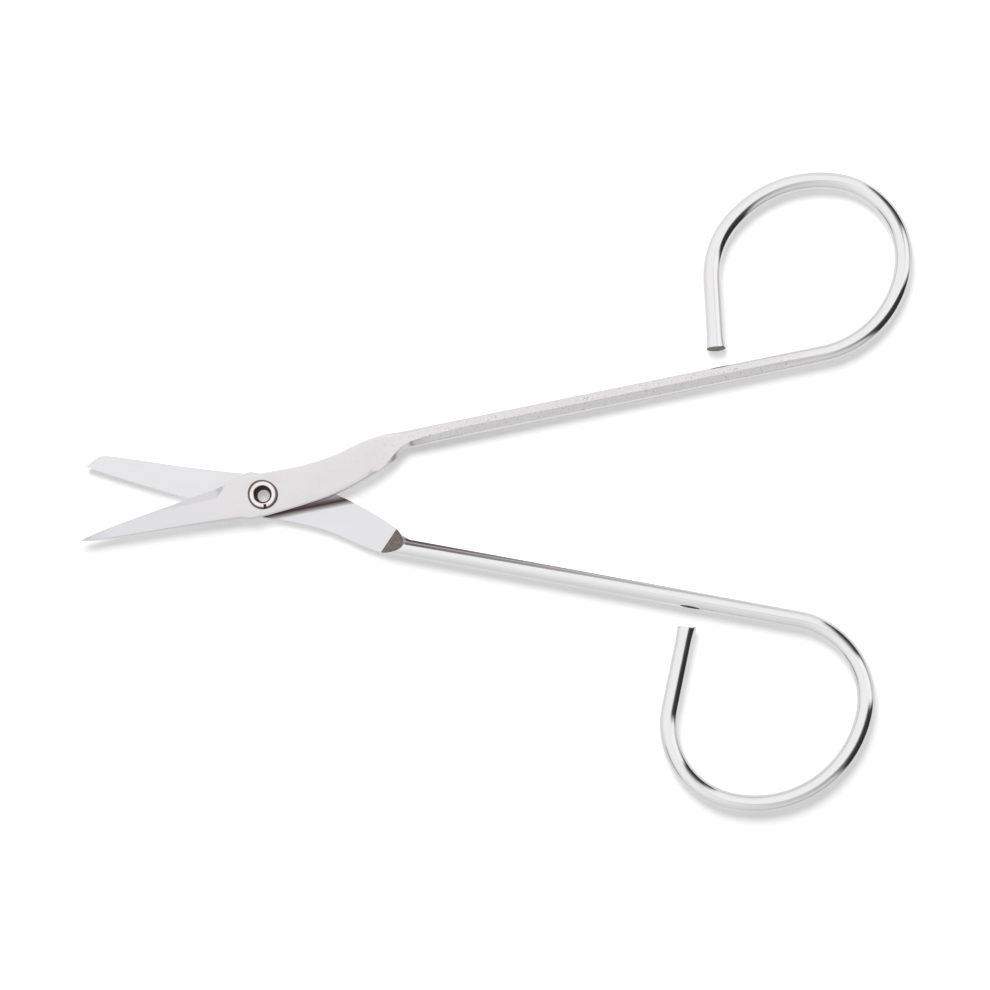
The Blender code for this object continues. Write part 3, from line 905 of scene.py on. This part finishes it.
def rubbed_band(tree):
    """How dark the painted shadow is on the inner face: a band across the tang, beside the
    place where the other tang lies, darkest along its middle."""
    parts = add_node(tree, "ShaderNodeSeparateXYZ", None,
                     {0: unbent_vector(tree, (BAND_SLOPE, 1.0, 1.0))})
    reach = add_node(tree, "ShaderNodeMath", None,
                     {0: parts.outputs["X"], 1: parts.outputs["Y"]}, operation='ADD')
    place = add_node(tree, "ShaderNodeMapRange", {1: BAND_START, 2: BAND_END, 3: 0.0, 4: 1.0},
                     {0: reach.outputs[0]})
    return grey_ramp(tree, place.outputs[0], 0.0,
                     ((0.07, 0.0), (0.27, 0.35), (0.45, 0.85), (0.57, 1.0), (0.67, 0.75),
                      (0.77, 0.35), (0.84, 0.0)))


def lapped_inner_face(colour, painted_shadow_colour):
    """The inner face, lapped flat along its length: satin, with faint long lines, and
    a brown black painted shadow beside the place where the other tang lies."""
    material, tree, shader = new_metal("lapped_inner_face")
    lines = add_node(tree, "ShaderNodeTexNoise", {"Scale": 3.0, "Detail": 3.0},
                     {"Vector": unbent_vector(tree, (0.05, 1.0, 1.0))})
    tone = add_node(tree, "ShaderNodeMix",
                    {6: (*[c * 0.97 for c in colour], 1.0), 7: (*colour, 1.0)},
                    {0: lines.outputs["Fac"]}, data_type='RGBA')
    # Painted shadow: a brown black band where the other tang's shadow falls on this face
    rubbed = rubbed_band(tree)
    shadowed = add_node(tree, "ShaderNodeMix", {7: (*painted_shadow_colour, 1.0)},
                    {0: rubbed, 6: tone.outputs[2]}, data_type='RGBA')
    tree.links.new(shadowed.outputs[2], shader.inputs["Base Color"])
    rough = add_node(tree, "ShaderNodeMapRange", {1: 0.3, 2: 0.7, 3: 0.40, 4: 0.48},
                     {0: lines.outputs["Fac"]})
    tree.links.new(rough.outputs[0], shader.inputs["Roughness"])
    return material


def sheared_steel_shoulder(colour):
    """Steel sheared by the die and thinly plated: dark, torn and brown in its
    hollows, so that the shoulder reads as a rough step between two bright parts."""
    material, tree, shader = new_metal("sheared_steel_shoulder")
    shader.inputs["Roughness"].default_value = 0.5
    torn = add_node(tree, "ShaderNodeTexNoise", {"Scale": 4.0, "Detail": 5.0, "Roughness": 0.7},
                    {"Vector": unbent_vector(tree, (1.0, 0.4, 1.0))})
    contrast = add_node(tree, "ShaderNodeMapRange", {1: 0.35, 2: 0.65},
                        {0: torn.outputs["Fac"]})
    tone = add_node(tree, "ShaderNodeMix",
                    {6: (*[c * 0.45 for c in colour], 1.0), 7: (*colour, 1.0)},
                    {0: contrast.outputs[0]}, data_type='RGBA')
    tree.links.new(tone.outputs[2], shader.inputs["Base Color"])
    bump = add_node(tree, "ShaderNodeBump", {"Strength": 0.8, "Distance": 0.06 * MM},
                    {"Height": torn.outputs["Fac"]})
    tree.links.new(bump.outputs[0], shader.inputs["Normal"])
    return material


def bright_nickel_on_brass(colour, tarnish_and_shade_colour):
    """Nickel plate on a rolled brass rim: bright on its crown, with small dents from
    the punch, and brown black in the bore and round the rim's foot, which is brass tarnish and painted
    shade."""
    material, tree, shader = new_metal("bright_nickel_on_brass")
    place = add_node(tree, "ShaderNodeTexCoord")
    dents = add_node(tree, "ShaderNodeTexNoise", {"Scale": 1.1 / MM, "Detail": 2.0},
                     {"Vector": place.outputs["Object"]})
    label = add_node(tree, "ShaderNodeAttribute", attribute_name="tarnish_and_shade")
    tone = add_node(tree, "ShaderNodeMix",
                    {6: (*colour, 1.0), 7: (*tarnish_and_shade_colour, 1.0)},
                    {0: label.outputs["Fac"]}, data_type='RGBA')
    tree.links.new(tone.outputs[2], shader.inputs["Base Color"])
    bright = add_node(tree, "ShaderNodeMapRange", {1: 0.3, 2: 0.7, 3: 0.10, 4: 0.2},
                      {0: dents.outputs["Fac"]})
    rough = add_node(tree, "ShaderNodeMix", {3: 0.7}, {0: label.outputs["Fac"], 2: bright.outputs[0]},
                     data_type='FLOAT')
    tree.links.new(rough.outputs[0], shader.inputs["Roughness"])
    metallic = add_node(tree, "ShaderNodeMapRange", {1: 0.0, 2: 1.0, 3: 1.0, 4: 0.15},
                        {0: label.outputs["Fac"]})
    tree.links.new(metallic.outputs[0], shader.inputs["Metallic"])
    bump = add_node(tree, "ShaderNodeBump", {"Strength": 0.5, "Distance": 0.05 * MM},
                    {"Height": dents.outputs["Fac"]})
    tree.links.new(bump.outputs[0], shader.inputs["Normal"])
    return material


def backlit_opal_acrylic(level, glow):
    """Matt opal acrylic over a light box: an even white with soft, thin shadows."""
    material = bpy.data.materials.new("backlit_opal_acrylic")
    material.use_nodes = True
    shader = material.node_tree.nodes["Principled BSDF"]
    shader.inputs["Base Color"].default_value = (level, level, level, 1.0)
    shader.inputs["Roughness"].default_value = 1.0
    shader.inputs["Specular IOR Level"].default_value = 0.0
    shader.inputs["Emission Color"].default_value = (1.0, 1.0, 1.0, 1.0)
    shader.inputs["Emission Strength"].default_value = glow
    return material


# ---------------------------------------------------------------- stage

# The white tent's brightness: for each height in degrees above the table, (degrees
# from +X, linear grey) round the scissors. Two open seams, at the near right and the
# far right, let the dark room in, and a low slit does so at the near left
TENT = [
    (2.0, [(-180, 0.80), (-168, 0.70), (-163, 0.08), (-142, 0.08), (-136, 0.68), (-98, 0.62),
           (-66, 0.50), (-40, 0.42), (-35, 0.03), (-2, 0.03), (4, 0.55), (20, 0.40), (29, 0.03),
           (58, 0.03), (64, 0.80), (82, 0.70), (97, 0.78), (142, 0.85)]),
    (12.0, [(-180, 0.80), (-158, 0.58), (-140, 0.68), (-98, 0.64), (-66, 0.50), (-40, 0.44),
            (-34, 0.03), (-3, 0.03), (3, 0.60), (20, 0.45), (30, 0.03), (57, 0.03), (62, 0.80),
            (82, 0.72), (97, 0.80), (120, 0.78), (142, 0.85)]),
    (36.0, [(-180, 0.86), (-128, 0.78), (-98, 0.67), (-53, 0.65), (-42, 0.60), (-35, 0.03),
            (-5, 0.03), (1, 0.92), (27, 0.92), (32, 0.08), (49, 0.08), (60, 0.86), (85, 0.86)]),
    (60.0, [(-180, 0.87), (-128, 0.86), (-98, 0.74), (-60, 0.52), (-38, 0.36), (-29, 0.05),
            (-4, 0.05), (3, 0.90), (27, 0.92), (34, 0.40), (43, 0.40), (52, 0.87), (85, 0.87)]),
    (84.0, [(-180, 0.86), (-83, 0.82), (-55, 0.64), (-10, 0.58), (10, 0.86)]),
]


def tent_band(tree, round_share, stops):
    """Brightness round the tent at one height, closed where it starts and ends."""
    return grey_ramp(tree, round_share, stops[0][1],
                     [((degrees + 180) / 360, grey) for degrees, grey in stops[1:]])


def build_tent(level):
    """A tent of white cloth, brightest behind and overhead, greyer in front. The metal
    shows its seams and its greys, and where it is seen past the table it is white."""
    world = bpy.data.worlds.new("white_tent")
    world.use_nodes = True
    tree = world.node_tree
    background = tree.nodes["Background"]
    way = add_node(tree, "ShaderNodeTexCoord")
    parts = add_node(tree, "ShaderNodeSeparateXYZ", None, {0: way.outputs["Generated"]})
    turn = add_node(tree, "ShaderNodeMath", None, {0: parts.outputs["Y"], 1: parts.outputs["X"]},
                    operation='ARCTAN2')
    round_share = add_node(tree, "ShaderNodeMapRange",
                           {1: -math.pi, 2: math.pi, 3: 0.0, 4: 1.0}, {0: turn.outputs[0]})
    height = add_node(tree, "ShaderNodeMath", None, {0: parts.outputs["Z"]}, operation='ARCSINE')
    tone = tent_band(tree, round_share.outputs[0], TENT[0][1])
    for (lower, _), (upper, stops) in zip(TENT, TENT[1:]):
        climb = add_node(tree, "ShaderNodeMapRange",
                         {1: math.radians(lower), 2: math.radians(upper)},
                         {0: height.outputs[0]}, interpolation_type='SMOOTHSTEP')
        mix = add_node(tree, "ShaderNodeMix", None,
                       {0: climb.outputs[0], 6: tone,
                        7: tent_band(tree, round_share.outputs[0], stops)}, data_type='RGBA')
        tone = mix.outputs[2]
    # The cloth is very slightly cool
    tinted = add_node(tree, "ShaderNodeMix", {0: 1.0, 7: (0.99, 1.0, 1.01, 1.0)}, {6: tone},
                      data_type='RGBA', blend_type='MULTIPLY')
    # Matt surfaces get little of the cloth's light, so that the key lamp's shadows show
    seen = add_node(tree, "ShaderNodeLightPath")
    dimmed = add_node(tree, "ShaderNodeMix", {7: (0.09, 0.09, 0.09, 1.0)},
                      {0: seen.outputs["Is Diffuse Ray"], 6: tinted.outputs[2]}, data_type='RGBA')
    shown = add_node(tree, "ShaderNodeMix", {7: (1.0, 1.0, 1.0, 1.0)},
                     {0: seen.outputs["Is Camera Ray"], 6: dimmed.outputs[2]}, data_type='RGBA')
    tree.links.new(shown.outputs[2], background.inputs["Color"])
    background.inputs["Strength"].default_value = level
    # Sampled only along the paths, because lamp sampling doesn't tell the table from metal
    world.cycles.sampling_method = 'NONE'
    bpy.context.scene.world = world


def build_floor():
    """The opal table, wide enough that its rim is never in view."""
    bpy.ops.object.select_all(action='DESELECT')
    bpy.ops.mesh.primitive_plane_add(size=3.0)
    floor = bpy.context.object
    floor.name = "opal_table"
    floor.data.materials.append(backlit_opal_acrylic(TABLE_WHITE, TABLE_GLOW))


def build_key_lamp(power):
    """A soft lamp behind the blades. It lights the table only, and the cloth tent
    lights the metal, so that no hot spot shows on the wire."""
    distance = 600 * MM
    lift, turn = math.radians(60.0), math.radians(108.0)
    bpy.ops.object.light_add(type='AREA')
    lamp = bpy.context.object
    lamp.name = "key_lamp"
    lamp.data.shape = 'DISK'
    lamp.data.size = 380 * MM
    lamp.data.energy = power
    lamp.visible_glossy = False
    back = Vector((math.cos(lift) * math.cos(turn), math.cos(lift) * math.sin(turn), math.sin(lift)))
    lamp.location = back * distance
    lamp.rotation_euler = back.to_track_quat('Z', 'Y').to_euler()


def build_camera(studio):
    """A long lens almost straight above, tilted a little towards the near side."""
    target = PIVOT + Vector((30.11, 0.05, 0.0)) * MM
    bpy.ops.object.camera_add()
    camera = bpy.context.object
    camera.name = "stills_camera"
    camera.data.lens = studio.focal_length
    camera.data.sensor_width = 36.0
    camera.data.clip_start = 10 * MM
    camera.rotation_euler = (studio.camera_tilt, 0.0, 0.0)
    back = Vector((0.0, -math.sin(studio.camera_tilt), math.cos(studio.camera_tilt)))
    camera.location = target + back * studio.camera_distance
    bpy.context.scene.camera = camera


# ---------------------------------------------------------------- add-on

class SCISSORS_OT_pointed_half(Operator):
    """Model the pointed half: blade, tang, straight wire and finger loop"""
    bl_idname = "scissors.pointed_half"
    bl_label = "Pointed Half"

    def execute(self, context):
        build_half("pointed_wire_blade", HALVES["pointed"], POINTED_HEADING, False, "pointed_side")
        return {'FINISHED'}


class SCISSORS_OT_blunt_half(Operator):
    """Model the blunt half, turned over so that its inner face lies upwards"""
    bl_idname = "scissors.blunt_half"
    bl_label = "Blunt Half"

    def execute(self, context):
        build_half("blunt_wire_blade", HALVES["blunt"], BLUNT_HEADING, True, "blunt_side")
        return {'FINISHED'}


class SCISSORS_OT_pivot_eyelet(Operator):
    """Model the hollow eyelet that both halves turn on"""
    bl_idname = "scissors.pivot_eyelet"
    bl_label = "Pivot Eyelet"

    def execute(self, context):
        build_eyelet()
        return {'FINISHED'}


class SCISSORS_OT_studio(Operator):
    """Set the opal table, the white tent, the key lamp and the camera"""
    bl_idname = "scissors.studio"
    bl_label = "Studio"

    def execute(self, context):
        studio = context.scene.scissor_studio
        build_tent(studio.dome)
        build_floor()
        build_key_lamp(studio.key_power)
        build_camera(studio)
        context.scene.view_settings.view_transform = 'Standard'
        return {'FINISHED'}


class SCISSORS_PT_parts(Panel):
    """Lists the scissors' parts, sizes and finishes"""
    bl_idname = "SCISSORS_PT_parts"
    bl_label = "Thread Scissors"
    bl_space_type = 'VIEW_3D'
    bl_region_type = 'UI'
    bl_category = "Scissors"

    def draw(self, context):
        layout = self.layout
        for operator in OPERATORS:
            layout.operator(operator.bl_idname)
        for group in (context.scene.scissor_sizes, context.scene.scissor_finish,
                      context.scene.scissor_studio):
            column = layout.column(align=True)
            for key in group.bl_rna.properties.keys():
                if key not in ("rna_type", "name"):
                    column.prop(group, key)


OPERATORS = (SCISSORS_OT_pointed_half, SCISSORS_OT_blunt_half, SCISSORS_OT_pivot_eyelet,
             SCISSORS_OT_studio)
CLASSES = (ScissorSizes, ScissorFinish, ScissorStudio, *OPERATORS, SCISSORS_PT_parts)


def register():
    for cls in CLASSES:
        bpy.utils.register_class(cls)
    bpy.types.Scene.scissor_sizes = PointerProperty(type=ScissorSizes)
    bpy.types.Scene.scissor_finish = PointerProperty(type=ScissorFinish)
    bpy.types.Scene.scissor_studio = PointerProperty(type=ScissorStudio)


def unregister():
    del bpy.types.Scene.scissor_studio
    del bpy.types.Scene.scissor_finish
    del bpy.types.Scene.scissor_sizes
    for cls in reversed(CLASSES):
        bpy.utils.unregister_class(cls)


def main():
    register()
    bpy.ops.scissors.pointed_half()
    bpy.ops.scissors.blunt_half()
    bpy.ops.scissors.pivot_eyelet()
    bpy.ops.scissors.studio()
    bpy.context.view_layer.update()


if __name__ == "__main__":
    main()
